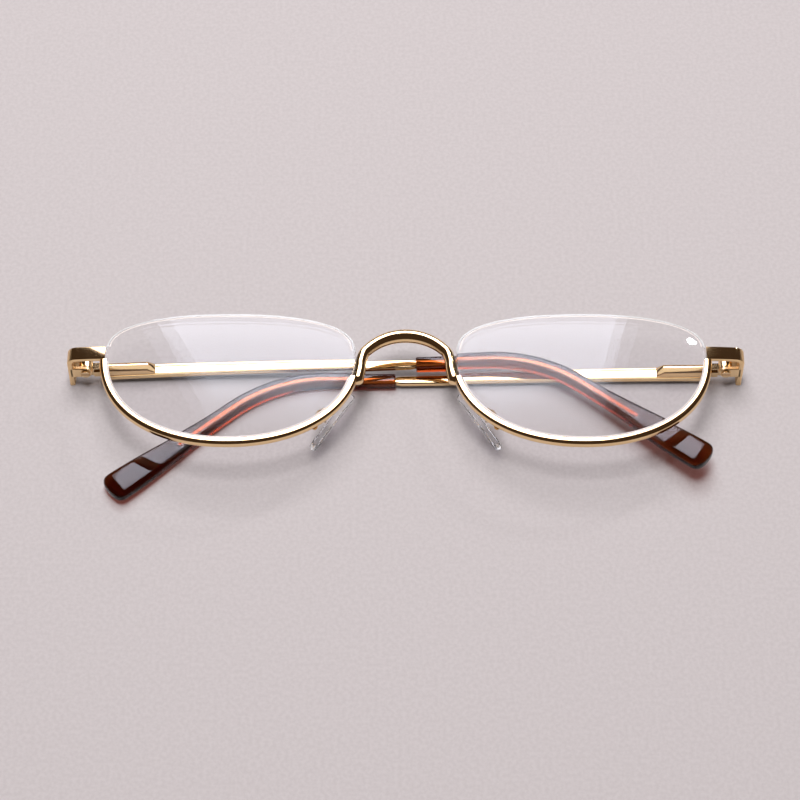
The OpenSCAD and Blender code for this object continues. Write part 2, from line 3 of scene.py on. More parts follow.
import bpy
import numpy as np
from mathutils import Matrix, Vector


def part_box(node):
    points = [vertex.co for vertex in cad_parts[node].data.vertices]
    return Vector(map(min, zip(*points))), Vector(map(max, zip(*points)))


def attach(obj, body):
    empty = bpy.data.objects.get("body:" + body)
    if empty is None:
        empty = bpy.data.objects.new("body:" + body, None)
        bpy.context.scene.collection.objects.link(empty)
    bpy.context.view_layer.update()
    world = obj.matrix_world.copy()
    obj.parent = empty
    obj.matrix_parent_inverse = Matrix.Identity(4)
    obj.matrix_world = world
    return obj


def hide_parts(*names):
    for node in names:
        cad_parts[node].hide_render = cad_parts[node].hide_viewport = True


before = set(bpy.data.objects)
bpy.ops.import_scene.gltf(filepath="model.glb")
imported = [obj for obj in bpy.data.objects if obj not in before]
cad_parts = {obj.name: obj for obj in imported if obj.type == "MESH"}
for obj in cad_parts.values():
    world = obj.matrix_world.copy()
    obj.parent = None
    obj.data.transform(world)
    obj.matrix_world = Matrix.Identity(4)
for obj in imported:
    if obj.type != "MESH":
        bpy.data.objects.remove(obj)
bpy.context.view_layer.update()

# Lengths are in millimetres until a mesh is made, and angles are in degrees.
# X is the wearer's left, Y is up as worn, Z is forward as worn, and the table is at Z = 0.
MM = 0.001
SIDES = {"right": -1, "left": 1}

# The front
FRONT_W = 138.0
FRONT_Z = 9.7
PLATE_T = 1.1
PLATE_H = 3.1
PLATE_ROUND = 0.28
CORNER_R = 2.2
CORNER_FALL = 0.25

# The lenses
LENS_W = 50.8
LENS_GAP = 20.6
LENS_RISE = 9.1
LENS_DROP = 21.6
LENS_LINE = -0.9
UPPER_POWER = 3.4
LOWER_POWER = 2.1
FRONT_RADIUS = 100.0
BACK_RADIUS = 140.0
LENS_T = 2.4
LENS_Z = 12.9
TONGUE_SET = 0.4
TONGUE_T = 0.6
TONGUE_D = 0.4
CORD_D = 0.5
LENS_BEVEL = 0.12
FIT_GAP = 0.05
# Where the painted reflections of the ground edge lie on a lens's front, as thin strips beside the
# cord and beside the rim: from one distance in from the outline to another
CORD_REFLECTION_STRIP = (0.62, 0.92)
RIM_REFLECTION_STRIP = (0.42, 0.7)

# The rims and the bridge
RIM_W = 1.12
RIM_T = 1.8
RIM_FACE = 0.7
RIM_ROUND = 0.68
GROOVE_PLAY = 0.12
BRIDGE_D = 2.2
BRIDGE_SWELL = 0.26
LEG_SWELL = 0.1
FOOT_L = 1.3
BRIDGE_Y = 4.7
SHOULDER_Y = -0.6
FOOT_Y = -5.9

# The nose pads
PAD_L = 14.6
PAD_W = 6.8
PAD_T = 1.7
PAD_AT = np.array([14.9, -13.5, 4.25])
PAD_ALONG = np.array([0.56, -0.82, -0.12])
PAD_BACK = np.array([0.19, 0.285, -0.94])
ARM_D = 0.9
ARM_ROOT_Y = -17.4
ARM_ROOT_OUT = 0.58
WELD_SWELL = 0.45
LUG_W = 1.2
LUG_R = 0.75
CHEEK_T = 0.45
CHEEK_LIFT = 0.35

# The hinges
PIN_X = 65.5
PIN_Z = 4.4
BARREL_D = 2.8
EYE_W = 1.44
RUN_GAP = 0.05
EAR_SATIN = 0.6

# The temples
TEMPLE_STRAIGHT = 82.2
BEND_R = 30.0
BEND_ANGLE = 38.5
DROP_L = 29.0
TIP_START = 67.6
CORE_L = 49.0
BLADE_W = 2.9
BLADE_END_W = 1.9
BLADE_T = 1.1
BLADE_ROUND = 0.24
CORE_W = 1.2
BLADE_SET = 3.65
TIP_W = 2.7
TIP_SWELL = 0.3
PADDLE_W = 6.6
PADDLE_L = 27.0
TIP_END_L = 2.4
TIP_END_POWER = 2.8
TIP_END_SHARE = 0.45
TIP_T = 2.6
TIP_CORNER = 0.75
PADDLE_CORNER = 1.2
CURL = 0.0004
CURL_L = 44.0
TEMPLE_SKEW = 1.25
INNER_LIFT = 1.5
BOX_L = 9.8
BOX_W = 2.3
BOX_H = 2.0

# Worked out from them and from the frame
LENS_X = (LENS_GAP + LENS_W) / 2
LENS_HALF = LENS_W / 2
AXIS_Y = LENS_LINE + (LENS_RISE - LENS_DROP) / 2
GROOVE_SET = TONGUE_SET + TONGUE_T / 2
HINGE_Y = sum(corner[1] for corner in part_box("left_end_piece")) / 2 / MM
BLADE_START = PIN_Z + 0.15
BOX_START = BLADE_START + 0.1
BEND_L = math.radians(BEND_ANGLE) * BEND_R
TEMPLE_END = TEMPLE_STRAIGHT + BEND_L + DROP_L
LUG_Z = PAD_T / 2 + 1.0


def signed_power(v, power):
    """The sign of v times its size raised to a power."""
    return np.sign(v) * np.abs(v) ** power


def ease(v):
    """A smooth step: 3 v squared less 2 v cubed, with v held between 0 and 1."""
    v = np.clip(v, 0, 1)
    return v * v * (3 - 2 * v)


def unit(v):
    """Each row of v divided by its length."""
    return v / np.linalg.norm(v, axis=-1, keepdims=True)


def ring_quads(rows, cols):
    """Quads between neighbouring rings, numbered ring by ring, with each ring closed on itself."""
    i, j = np.meshgrid(np.arange(rows - 1), np.arange(cols), indexing="ij")
    a = i * cols + j
    b = i * cols + (j + 1) % cols
    return np.stack([a, b, b + cols, a + cols], -1).reshape(-1, 4)


def closed_skin(rings):
    """A solid's skin: quads between its rings, and one flat face over each end ring."""
    rows, cols = rings.shape[:2]
    end = np.arange(cols)[None]
    return rings.reshape(-1, 3), [ring_quads(rows, cols), end[:, ::-1], end + (rows - 1) * cols]


def six_volumes(points, faces):
    """Six times the volume in a skin: the sum of a . (b x c) over its triangles."""
    total = 0.0
    for block in faces:
        for k in range(1, block.shape[1] - 1):
            a, b, c = points[block[:, 0]], points[block[:, k]], points[block[:, k + 1]]
            total += np.einsum("ij,ij->i", a, np.cross(b, c)).sum()
    return total


def piece(name, skins, material, body, replaced, marks=None, sharp=38.0):
    """One object from closed skins in millimetres. A skin of negative volume is turned out."""
    points, rows, base = [], [], 0
    for skin_points, faces in skins:
        turned = six_volumes(skin_points, faces) < 0
        points.append(skin_points)
        for block in faces:
            rows += ((block[:, ::-1] if turned else block) + base).tolist()
        base += len(skin_points)
    mesh = bpy.data.meshes.new(name)
    mesh.from_pydata((np.concatenate(points) * MM).tolist(), [], rows)
    for mark, values in (marks or {}).items():
        layer = mesh.attributes.new(mark, "FLOAT", "POINT")
        layer.data.foreach_set("value", values.astype(np.float32))
    mesh.polygons.foreach_set("use_smooth", np.ones(len(rows), bool))
    mesh.set_sharp_from_angle(angle=math.radians(sharp))
    mesh.materials.append(material)
    made = bpy.data.objects.new(name, mesh)
    # The bright panel, mirrored or bent by the pieces, throws no light on the table
    made.visible_diffuse = False
    bpy.context.scene.collection.objects.link(made)
    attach(made, body)
    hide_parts(replaced)
    return made


def on_side(points, side):
    """A wearer's-left shape at the hinge line's height, mirrored in X for the wearer's right."""
    return points * [side, 1, 1] + [0, HINGE_Y, 0]


def swept(path, across, up, section):
    """A section carried along a path: path + u times across + w times up, for each (u, w)."""
    section = np.broadcast_to(section, (len(path),) + section.shape[-2:])
    u, w = section[..., :1], section[..., 1:]
    return path[:, None] + u * across[:, None] + w * up[:, None]


def swept_flat(xy, z, out, section):
    """A section carried along a path in the front's plane, outwards by u and upwards by w."""
    path = np.column_stack([xy, np.broadcast_to(z, len(xy))])
    across = np.column_stack([out, np.zeros(len(xy))])
    return swept(path, across, np.broadcast_to([0.0, 0.0, 1.0], path.shape), section)


def level_ends(out, rate):
    """Outward directions, turned to plus X at the path's start and to minus X at its end, by a
    smooth step of the rate times the share of the way from that end."""
    share = np.linspace(0, 1, len(out))[:, None]
    kept = ease(rate * np.minimum(share, 1 - share))
    level = np.where(share < 0.5, [[1.0, 0.0]], [[-1.0, 0.0]])
    return unit(out * kept + level * (1 - kept))


def round_section(diameter, count):
    """A circle of the given diameter."""
    a = np.arange(count) / count * 2 * math.pi
    return np.stack([np.cos(a), np.sin(a)], -1) * diameter / 2


def rounded_section(half_u, half_w, radius, steps=5):
    """A rectangle whose corners are quarter circles. The sizes may be arrays, one per station."""
    half_u, half_w, radius = (np.asarray(v, float)[..., None] for v in (half_u, half_w, radius))
    quarter = np.linspace(0, 90, steps)
    a = np.radians(np.concatenate([quarter, quarter + 90, quarter + 180, quarter + 270]))
    side_u = np.repeat([1, -1, -1, 1], steps)
    side_w = np.repeat([1, 1, -1, -1], steps)
    u = side_u * (half_u - radius) + radius * np.cos(a)
    w = side_w * (half_w - radius) + radius * np.sin(a)
    return np.stack([u, w], -1)


def through(points, count):
    """A smooth curve through the points: cubic Hermite pieces whose slope at a point is half the
    step between its neighbours, at even shares along the list."""
    points = np.asarray(points, float)
    slope = np.gradient(points, axis=0)
    t = np.linspace(0, len(points) - 1, count)
    i = np.minimum(t.astype(int), len(points) - 2)
    f = (t - i)[:, None]
    return (
        (1 + 2 * f) * (1 - f) ** 2 * points[i] + f * (1 - f) ** 2 * slope[i]
        + f * f * (3 - 2 * f) * points[i + 1] + f * f * (f - 1) * slope[i + 1]
    )


def pulled(points, t):
    """The Bezier curve of the points at shares t: neighbours are mixed until one is left."""
    rows = [np.asarray(p, float)[None] for p in points]
    while len(rows) > 1:
        rows = [a * (1 - t)[:, None] + b * t[:, None] for a, b in zip(rows, rows[1:])]
    return rows[0]


def knuckle(radius, reach, width, bevel=0.12, steps=24):
    """An ear in its own axes: a half circle of the radius round the first axis's origin, closed by
    straight sides to the reach, carried over the width along the second axis with bevelled rims."""
    a = np.radians(np.linspace(90, 270, steps))
    outline = np.concatenate([np.stack([np.cos(a), np.sin(a)], -1), [[0, -1], [0, 1]]])
    far = np.concatenate([np.zeros(steps), [1, 1]])
    rings = []
    flat = 0.5 - bevel / width
    for at, inset in ((-0.5, bevel), (-flat, 0), (flat, 0), (0.5, bevel)):
        x = outline[:, 0] * (radius - inset) + far * reach
        z = outline[:, 1] * (radius - inset)
        rings.append(np.stack([x, np.full_like(x, at * width), z], -1))
    return np.array(rings)


# The lens outline and its sphere


def lens_edge(t, u=0.0):
    """The outline at angle t from the temple side: half axes out by u, times the signed powers of
    cosine and sine, squarer above the widest line than below it."""
    c, s = np.cos(np.radians(t)), np.sin(np.radians(t))
    power = 2 / np.where(s >= 0, UPPER_POWER, LOWER_POWER)
    height = np.where(s >= 0, LENS_RISE, LENS_DROP)
    x = LENS_X + (LENS_HALF + u) * signed_power(c, power)
    y = LENS_LINE + (height + u) * signed_power(s, power)
    return np.stack([x, y], -1)


def edge_out(t):
    """The outline's outward direction: its step over 0.4 degrees, turned by a right angle."""
    step = lens_edge(t + 0.2) - lens_edge(t - 0.2)
    return unit(np.stack([step[..., 1], -step[..., 0]], -1))


def layer_z(xy, set_back):
    """The height of the sphere that lies set_back behind the lens's front surface."""
    r = FRONT_RADIUS - set_back
    square = (xy[..., 0] - LENS_X) ** 2 + (xy[..., 1] - AXIS_Y) ** 2
    return LENS_Z - FRONT_RADIUS + np.sqrt(r * r - square)


def back_z(xy):
    """The height of the lens's back surface."""
    square = (xy[..., 0] - LENS_X) ** 2 + (xy[..., 1] - AXIS_Y) ** 2
    return LENS_Z - LENS_T - BACK_RADIUS + np.sqrt(BACK_RADIUS**2 - square)


def angle_at(y, height, power):
    """The angle from the widest line at which a half outline reaches the height y."""
    return math.degrees(math.asin((abs(y - LENS_LINE) / height) ** (power / 2)))


START_ANGLE = -angle_at(-PLATE_H / 2, LENS_DROP, LOWER_POWER)
END_ANGLE = -180 + angle_at(FOOT_Y, LENS_DROP, LOWER_POWER)
TOP_START = angle_at(PLATE_H / 2 + 0.1, LENS_RISE, UPPER_POWER)
TOP_END = 180 - angle_at(SHOULDER_Y + BRIDGE_D / 2 + 0.2, LENS_RISE, UPPER_POWER)


def even_angles(start, end, count):
    """Angles from start to end at even lengths along the outline."""
    t = np.linspace(start, end, 6000)
    run = np.concatenate([[0], np.cumsum(np.linalg.norm(np.diff(lens_edge(t), axis=0), axis=1))])
    return np.interp(np.linspace(0, run[-1], count), run, t)


def rim_section():
    """The rim wire: rounded outer corners, small rounds on the two lips, and the lens groove."""
    steps = 9
    lip, groove = -TONGUE_D + FIT_GAP, TONGUE_T / 2 + GROOVE_PLAY
    wide, fine = 0.16, 0.05
    outside = rounded_section(RIM_FACE, RIM_T / 2, RIM_ROUND, steps)[:steps] + [RIM_W - RIM_FACE, 0]
    inside = [
        [lip + wide, RIM_T / 2], [lip + fine, RIM_T / 2 - fine], [lip, RIM_T / 2 - wide],
        [lip, groove], [FIT_GAP, groove],
    ]
    front = np.concatenate([outside, inside])
    return np.concatenate([front, front[::-1] * [1, -1]])


def make_rim(name, side):
    """The section carried along the lower outline, level at its two ends where it meets the end
    piece and the bridge's foot."""
    t = even_angles(START_ANGLE, END_ANGLE, 260)
    xy = lens_edge(t)
    out = level_ends(edge_out(t), 45)
    rings = swept_flat(xy, layer_z(xy, GROOVE_SET), out, rim_section())
    piece(f"{name}_rim_wire", [closed_skin(on_side(rings, side))], polished_gold, "front",
          f"{name}_rim")


def within(t, start, end, soft=1.5):
    """1 between two angles and 0 outside them, with a short slope at each."""
    return np.clip((t - start) / soft, 0, 1) * np.clip((end - t) / soft, 0, 1)


def make_lens(name, side):
    """Rings from the middle of the front, over the edge, to the middle of the back. On the two
    faces a ring is the outline drawn towards the middle; on the edge it is set in where the tongue
    or the cord's groove is cut."""
    t = even_angles(-180, 180, 321)[:-1]
    middle = np.array([LENS_X, AXIS_Y])
    low = within(t, END_ANGLE - 1, START_ANGLE + 1)
    top = within(t, TOP_START - 1, TOP_END + 1)
    tongue = low * TONGUE_D
    shares = np.sin(np.linspace(0.0008, 1, 26) * math.pi / 2)
    rings, ground = [], []

    def ring(share, inset, height, mark):
        outline = lens_edge(t) - edge_out(t) * inset[:, None]
        xy = middle + share * (outline - middle)
        rings.append(np.column_stack([xy, height(xy)]))
        ground.append(np.full(len(t), mark))

    for share in shares:
        ring(share, tongue + LENS_BEVEL, lambda xy: layer_z(xy, 0), 0.0)
    ring(1, tongue, lambda xy: layer_z(xy, LENS_BEVEL), 1.0)
    for set_back, inset in (
        (TONGUE_SET, tongue), (TONGUE_SET, top * TONGUE_D),
        (TONGUE_SET + TONGUE_T, top * TONGUE_D), (TONGUE_SET + TONGUE_T, tongue),
    ):
        ring(1, inset, lambda xy: layer_z(xy, set_back), 1.0)
    ring(1, tongue, lambda xy: back_z(xy) + LENS_BEVEL, 1.0)
    for share in shares[::-1]:
        ring(share, tongue + LENS_BEVEL, back_z, 0.0)
    piece(f"{name}_lens_glass", [closed_skin(on_side(np.array(rings), side))], clear_lens, "front",
          f"{name}_lens", {"ground_edge": np.concatenate(ground)}, 25.0)


def lip_strip(t, low, high, side):
    """A thin strip on the lens's open edge, from one height to another, just out of the outline."""
    xy, out = lens_edge(t), edge_out(t)
    rings = [np.column_stack([xy + out * u, height(xy)]) for u, height in
             ((0.01, low), (0.04, low), (0.04, high), (0.01, high))]
    return closed_skin(on_side(np.stack(rings, 1), side))


def painted_reflection_strip(t, near, far, side):
    """A thin strip on the lens's front between two distances in from the outline: a painted
    reflection of the ground edge, a pale line where the lens's front has no edge of its own. It
    stands on the front's sphere, a few thousandths clear of it, and is thicker on its outer side."""
    xy, out = lens_edge(t), edge_out(t)
    inner, outer = xy - out * far, xy - out * near
    rings = [np.column_stack([at, layer_z(at, -lift)]) for at, lift in
             ((inner, 0.006), (outer, 0.006), (outer, 0.03), (inner, 0.016))]
    return closed_skin(on_side(np.stack(rings, 1), side))


def make_ground_lips_and_painted_reflections(name, side):
    """Four thin strips on a lens: the two ground lips beside the cord's groove, and on the front
    two painted reflections of the ground edge, one just inside that groove and one just inside the
    rim."""
    top = even_angles(TOP_START, TOP_END, 160)
    low = even_angles(END_ANGLE + 1.5, START_ANGLE - 1.5, 200)
    skins = [
        lip_strip(top, lambda xy: layer_z(xy, TONGUE_SET),
                  lambda xy: layer_z(xy, LENS_BEVEL), side),
        lip_strip(top, lambda xy: back_z(xy) + LENS_BEVEL,
                  lambda xy: layer_z(xy, TONGUE_SET + TONGUE_T), side),
        # The two front strips are painted reflections of the ground edge: pale lines where the
        # lens's front has no edge
        painted_reflection_strip(top, *CORD_REFLECTION_STRIP, side),
        painted_reflection_strip(low, *RIM_REFLECTION_STRIP, side),
    ]
    piece(f"{name}_lens_ground_lips_and_painted_reflections", skins, ground_lip_and_painted_reflection_glass, "front", f"{name}_lens")


def make_nylon(name, side):
    """A round cord carried along the upper outline, half sunk in the lens's groove."""
    t = even_angles(TOP_START, TOP_END, 180)
    xy = lens_edge(t)
    section = round_section(CORD_D, 14) + [CORD_D / 2 - TONGUE_D + FIT_GAP, 0]
    rings = swept_flat(xy, layer_z(xy, GROOVE_SET), edge_out(t), section)
    piece(f"{name}_nylon_line", [closed_skin(on_side(rings, side))], nylon, "front",
          f"{name}_nylon_cord")


def leg_x(y):
    """The bridge leg's middle line: the lens's nasal edge less the wire's radius and a gap."""
    at = LENS_GAP / 2
    if y < LENS_LINE:
        at = lens_edge(np.array(angle_at(y, LENS_DROP, LOWER_POWER) - 180.0))[0]
    return at - BRIDGE_D / 2 - 2 * FIT_GAP


def make_bridge():
    """A wire through points of two legs beside the lenses and of a round arch between them. It
    swells by a share of one less the square of the way from the middle of the arch, and smoothly
    down the legs, and each leg ends in a quarter-round toe of solder over the start of the rim."""
    half = LENS_GAP / 2 - BRIDGE_D / 2 - 2 * FIT_GAP
    rise = BRIDGE_Y - SHOULDER_Y
    arch_r = (half * half + rise * rise) / (2 * rise)
    spread = math.asin(half / arch_r)
    leg = [[leg_x(y), y] for y in FOOT_Y + (SHOULDER_Y - FOOT_Y) * np.array([0, 0.25, 0.5, 0.75])]
    a = -np.linspace(-0.9, 0.9, 13) * spread
    arch = np.stack([arch_r * np.sin(a), BRIDGE_Y - arch_r + arch_r * np.cos(a)], -1)
    toe = np.array([leg[0]]) + [[leg_x(FOOT_Y - FOOT_L) - leg[0][0], -FOOT_L]]
    leg = np.concatenate([toe, leg])
    points = np.concatenate([leg, arch, leg[::-1] * [-1, 1]])
    xy = through(points, 400)
    ahead = unit(np.gradient(xy, axis=0))
    out = level_ends(np.stack([ahead[:, 1], -ahead[:, 0]], -1), 40)
    z = layer_z(np.array([LENS_X - LENS_HALF + 0.2, SHOULDER_Y]), GROOVE_SET)
    thick = 1 + BRIDGE_SWELL * np.maximum(0, 1 - (xy[:, 0] / half) ** 2)
    thick += LEG_SWELL * ease((SHOULDER_Y - xy[:, 1]) / (SHOULDER_Y - FOOT_Y))
    up_toe = np.clip((xy[:, 1] - FOOT_Y + FOOT_L) / FOOT_L, 0.02, 1)
    thick *= np.sqrt(1 - (1 - up_toe) ** 2)
    rings = swept_flat(xy, z, out, round_section(BRIDGE_D, 32)[None] * thick[:, None, None])
    piece("bridge_wire", [closed_skin(on_side(rings, 1))], polished_gold, "front",
          "bridge")


def make_end_piece(name, side):
    """A bevelled strip carried from the lens round the corner and down to the table, and the two
    ears of the hinge. The strip falls by the square of the way to its corner."""
    start_x = LENS_X + LENS_HALF + FIT_GAP
    wall_x = FRONT_W / 2
    bend_x = wall_x - CORNER_R
    run = np.linspace(0, 1, 16)[:-1]
    turn = np.radians(np.linspace(90, 0, 22))
    drop = np.linspace(FRONT_Z - CORNER_R, 0, 12)[1:]
    flat = np.stack([start_x + (bend_x - start_x) * run, FRONT_Z - CORNER_FALL * run * run], -1)
    bend = np.stack([
        bend_x + CORNER_R * np.cos(turn),
        FRONT_Z - CORNER_R + (CORNER_R - CORNER_FALL) * np.sin(turn),
    ], -1)
    wall = np.stack([np.full_like(drop, wall_x), drop], -1)
    xz = np.concatenate([flat, bend, wall])
    ahead = unit(np.gradient(xz, axis=0))
    inward = np.stack([ahead[:, 1], -ahead[:, 0]], -1)
    inward[0], inward[-1] = [0, -1], [-1, 0]
    path = np.column_stack([xz[:, 0], np.zeros(len(xz)), xz[:, 1]])
    up = np.column_stack([inward[:, 0], np.zeros(len(xz)), inward[:, 1]])
    across = np.broadcast_to([0.0, 1.0, 0.0], path.shape)
    section = rounded_section(PLATE_H / 2, PLATE_T / 2, PLATE_ROUND) + [0, PLATE_T / 2]
    strip = swept(path, across, up, section)
    ear_w = (PLATE_H - EYE_W) / 2 - RUN_GAP
    skins = [closed_skin(on_side(strip, side))]
    for y in (-1, 1):
        ear = knuckle(BARREL_D / 2, wall_x - PLATE_T / 2 - PIN_X, ear_w)
        ear = ear + [PIN_X, y * (PLATE_H - ear_w) / 2, PIN_Z]
        skins.append(closed_skin(on_side(ear, side)))
    satin = ease((path[:, 0] - bend_x - 0.6) / 1.2)
    marks = [np.repeat(satin, strip.shape[1])]
    marks += [np.full(len(points), EAR_SATIN) for points, faces in skins[1:]]
    piece(f"{name}_end_strip", skins, end_gold, "front", f"{name}_end_piece",
          {"satin": np.concatenate(marks)})


def folded(points, side):
    """From a temple's own axes, with x along it from the pin, to its folded place: lifted by the
    inner temple's angle on the wearer's right, skewed, and mirrored on the wearer's left."""
    lift = math.radians(INNER_LIFT if side < 0 else 0)
    skew = math.radians(TEMPLE_SKEW)
    x, y, z = points[..., 0] * -side, points[..., 1], points[..., 2]
    x, z = x * math.cos(lift) - z * math.sin(lift), x * math.sin(lift) + z * math.cos(lift)
    x, y = x * math.cos(skew) - y * math.sin(skew), x * math.sin(skew) + y * math.cos(skew)
    return np.stack([x + side * PIN_X, y + HINGE_Y, z + PIN_Z], -1)


def temple_line(s):
    """The temple's middle line at distance s from the pin: straight, then an arc, then straight.
    Gives the points and the directions across it."""
    past = s - TEMPLE_STRAIGHT
    turn = np.clip(past / BEND_R, 0, math.radians(BEND_ANGLE))
    after = np.maximum(0, past - BEND_L)
    x = np.minimum(s, TEMPLE_STRAIGHT) + BEND_R * np.sin(turn) + after * np.cos(turn)
    y = -BEND_R * (1 - np.cos(turn)) - after * np.sin(turn)
    points = np.stack([x, y, np.zeros_like(s)], -1)
    across = np.stack([np.sin(turn), np.cos(turn), np.zeros_like(s)], -1)
    return points, across


def along_temple(s, section, side):
    """A section carried along the temple's middle line, put in its folded place."""
    points, across = temple_line(s)
    up = np.broadcast_to([0.0, 0.0, 1.0], points.shape)
    return folded(swept(points, across, up, section), side)


def blade_half(s):
    """Half the blade's width: an even taper, then a smooth neck into the core."""
    taper = BLADE_W + (BLADE_END_W - BLADE_W) * (s - BLADE_START) / (TIP_START - BLADE_START)
    neck = ease((s - TIP_START + 1.5) / 2.5)
    return (taper * (1 - neck) + CORE_W * neck) / 2


def make_temple(name, side):
    """A flat bar with rounded corners from the hinge to the end of the core in the tip, with its
    sections closest together at the neck."""
    core_end = TIP_START + CORE_L
    s = np.concatenate([
        [BLADE_START, BLADE_START + 0.15], np.linspace(6, TIP_START - 2, 24),
        np.linspace(TIP_START - 1.8, TIP_START + 1.2, 16),
        np.linspace(TIP_START + 3, core_end - 0.3, 70), [core_end],
    ])
    inset = np.zeros_like(s)
    inset[0], inset[-1] = 0.15, 0.25
    half = blade_half(s) - inset
    middle = [0, BLADE_T / 2 - BLADE_SET]
    section = rounded_section(half, BLADE_T / 2 - inset, BLADE_ROUND) + middle
    piece(f"{name}_temple_blade", [closed_skin(along_temple(s, section, side))], polished_gold,
          f"{name}_arm", f"{name}_temple")


def paddle_share(s):
    """How far the tip has widened into its paddle at distance s, from 0 to 1."""
    return ease((s - TEMPLE_END) / PADDLE_L + 1)


def tip_half(s):
    """Half the tip's width: a slim sleeve that swells a little, eases out into the paddle and ends
    in half a superellipse."""
    sleeve = TIP_W + TIP_SWELL * np.clip((s - TIP_START) / 20, 0, 1)
    past = np.clip((s - TEMPLE_END) / TIP_END_L, 0, 1)
    round_off = (1 - past**TIP_END_POWER) ** (1 / TIP_END_POWER)
    return (sleeve + (PADDLE_W - TIP_W - TIP_SWELL) * paddle_share(s)) / 2 * round_off


def make_tip(name, side):
    """The plastic tip: a rounded rectangle carried along the temple, square-cut where the metal
    goes in. Its corners are rounder in the paddle, it thins over the rounded end by the height of a
    quarter circle, and its last part curls up by CURL times the square of the way along it."""
    end_turn = np.radians(np.linspace(0, 85, 26)[1:])
    s = np.concatenate([
        [TIP_START, TIP_START + 0.12, TIP_START + 0.4],
        np.linspace(TIP_START + 1.5, TEMPLE_END, 130), TEMPLE_END + TIP_END_L * np.sin(end_turn),
    ])
    past = np.clip((s - TEMPLE_END) / TIP_END_L, 0, 1)
    half_t = TIP_T * (TIP_END_SHARE + (1 - TIP_END_SHARE) * np.sqrt(1 - past**2)) / 2
    half_w = tip_half(s)
    inset = np.zeros_like(s)
    inset[:2] = [0.12, 0.03]
    low = -BLADE_SET + BLADE_T / 2 - TIP_T / 2
    curl = CURL * np.maximum(0, s - TEMPLE_END + CURL_L) ** 2
    middle = low + half_t + (TIP_T - 2 * half_t) * 0.35 + curl
    radius = TIP_CORNER + (PADDLE_CORNER - TIP_CORNER) * paddle_share(s)
    radius = np.minimum(radius, np.minimum(half_t, half_w) * 0.92)
    section = rounded_section(half_w - inset, half_t - inset, radius - inset * 0.5, 9)
    section = section + np.stack([np.zeros_like(s), middle], -1)[:, None]
    piece(f"{name}_tip_sleeve", [closed_skin(along_temple(s, section, side))], amber_plastic,
          f"{name}_arm", f"{name}_temple_tip")


def make_spring_box(name, side):
    """The housing on the blade: a round-topped section carried along it, with a small bevel at the
    hinge and a sloped far end."""
    round_top = BOX_H - 0.7
    a = np.radians(np.linspace(0, 180, 21))
    top = np.stack([BOX_W / 2 * np.cos(a), BOX_H - round_top + round_top * np.sin(a)], -1)
    outline = np.concatenate([top, [[-BOX_W / 2, 0.0], [BOX_W / 2, 0.0]]])
    s = BOX_START + np.array([0, 0.15, 1.0, 4.0, BOX_L - 1.5, BOX_L - 1.35, BOX_L - 0.2, BOX_L])
    height = np.array([0.94, 1, 1, 1, 1, 0.97, 0.42, 0.3])
    width = np.array([0.9, 1, 1, 1, 1, 1, 0.94, 0.86])
    section = outline[None] * np.stack([width, height], -1)[:, None] + [0, BLADE_T - BLADE_SET]
    piece(f"{name}_housing", [closed_skin(along_temple(s, section, side))], satin_gold,
          f"{name}_arm", f"{name}_spring_box", sharp=28.0)


PAD_ALONG = PAD_ALONG / np.linalg.norm(PAD_ALONG)
PAD_FACE = np.cross(PAD_ALONG, PAD_BACK) / np.linalg.norm(np.cross(PAD_ALONG, PAD_BACK))
PAD_ACROSS = np.cross(PAD_FACE, PAD_ALONG)


def at_pad(points, side):
    """From the pad's own axes, along, across and through it, to its place on either side."""
    turned = points @ np.array([PAD_ALONG, PAD_ACROSS, PAD_FACE]) + PAD_AT
    return on_side(turned, side)


def make_nose_pad(name, side):
    """A flattened oval: rings drawn out from the slightly crowned middle of one face, round the
    edge by most of a half circle and back to the middle of the other, and the lug that the screw
    goes through."""
    t = np.radians(np.arange(96) * 3.75)
    shares = np.linspace(0.002, 1, 14)
    edge_turn = 75
    turn = np.radians(np.linspace(-edge_turn, edge_turn, 11))
    flat = np.full(len(shares), 0.74)
    inset = PAD_T / 2 * np.concatenate([flat, 1 - np.cos(turn), flat])
    share = np.concatenate([shares, np.ones(len(turn)), shares[::-1]])
    crown = 0.06 * (1 - shares**2)
    face = PAD_T / 2 * math.sin(math.radians(edge_turn))
    z = np.concatenate([-face - crown, PAD_T / 2 * np.sin(turn), face + crown[::-1]])
    x = (share * (PAD_L / 2 - inset))[:, None] * signed_power(np.cos(t), 0.9)
    y = (share * (PAD_W / 2 - inset))[:, None] * signed_power(np.sin(t), 0.9)
    pad = np.stack([x, y, np.broadcast_to(z[:, None], x.shape)], -1)
    lug = knuckle(LUG_R, LUG_Z - 0.3, LUG_W, 0.1)
    lug = np.stack([lug[..., 2], lug[..., 1], LUG_Z - lug[..., 0]], -1)
    skins = [closed_skin(at_pad(pad, side)), closed_skin(at_pad(lug, side))]
    piece(f"{name}_pad_silicone", skins, clear_silicone, f"{name}_pad",
          f"{name}_nose_pad")


